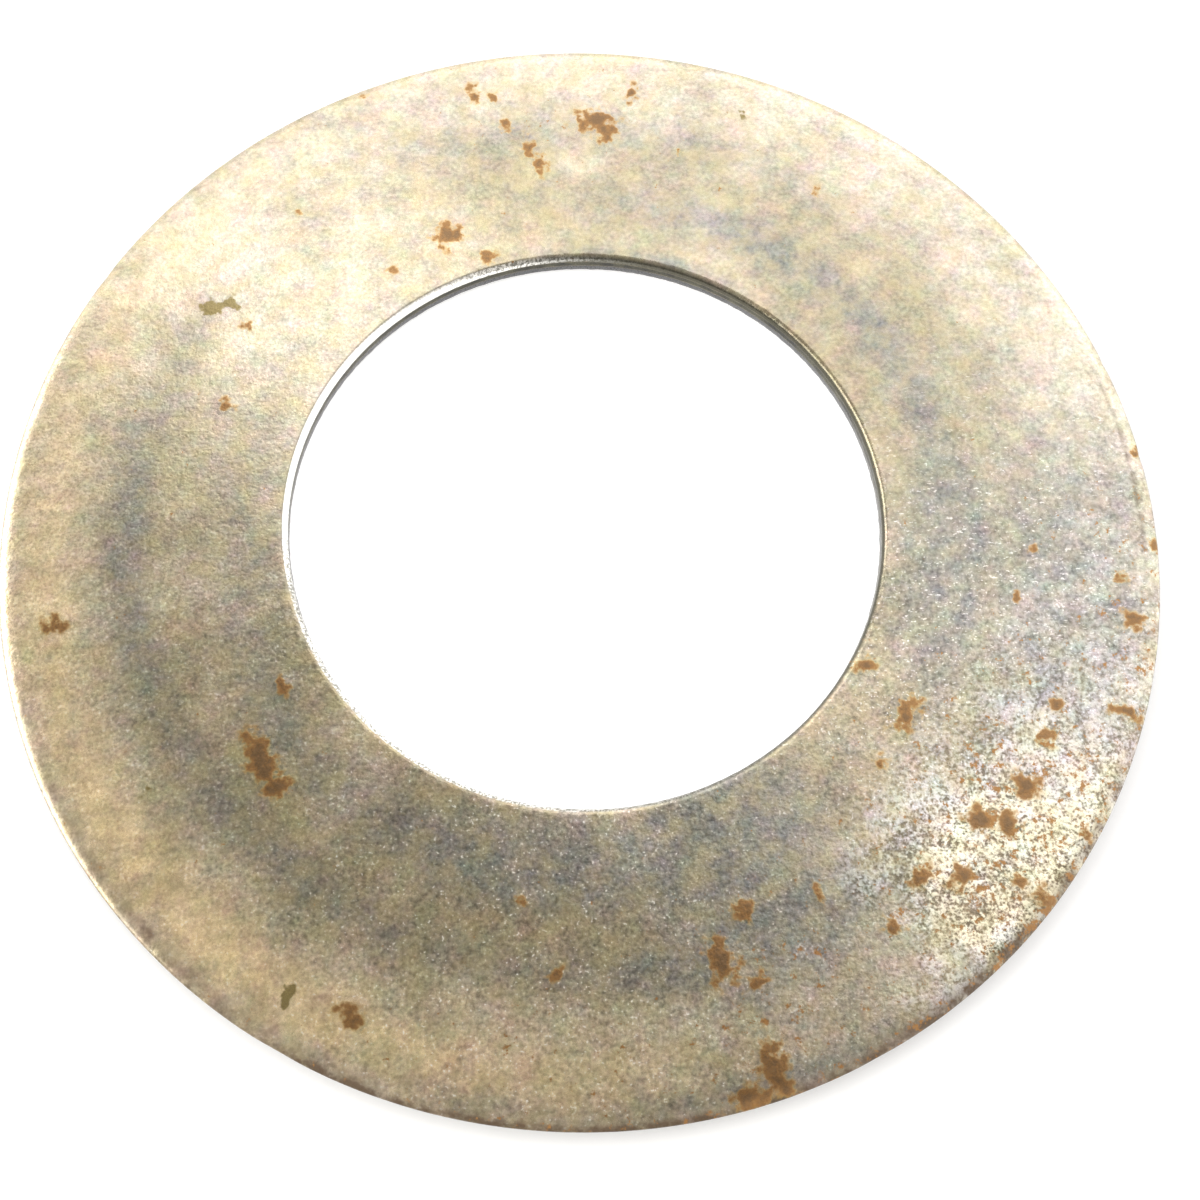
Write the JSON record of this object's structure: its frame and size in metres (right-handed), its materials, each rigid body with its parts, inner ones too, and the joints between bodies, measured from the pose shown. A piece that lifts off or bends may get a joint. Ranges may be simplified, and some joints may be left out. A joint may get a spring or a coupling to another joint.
{
  "type": "flat washer",
  "caption": "Thin flat washer stamped from zinc-plated steel sheet, with a wide plain bore, rolled upper edges, a dull stained face and small rust spots.",
  "frame": {"origin": "centre of the lower face, on the ring's axis", "axes": "+Z along the ring's axis, from the lower face with its sharp edges to the upper face with its rolled edges; X and Y lie in the lower face, and the ring is round, so +X is any radius"},
  "size_m": [0.06, 0.06, 0.0012],
  "materials": {
    "zinc_plated_steel": "dull zinc plating with a slightly yellow passivation, fine sparkling grain, two grey ring stains and scattered small spots of brown rust"
  },
  "bodies": {
    "root": {"flat_washer": "zinc_plated_steel"}
  },
  "joints": []
}
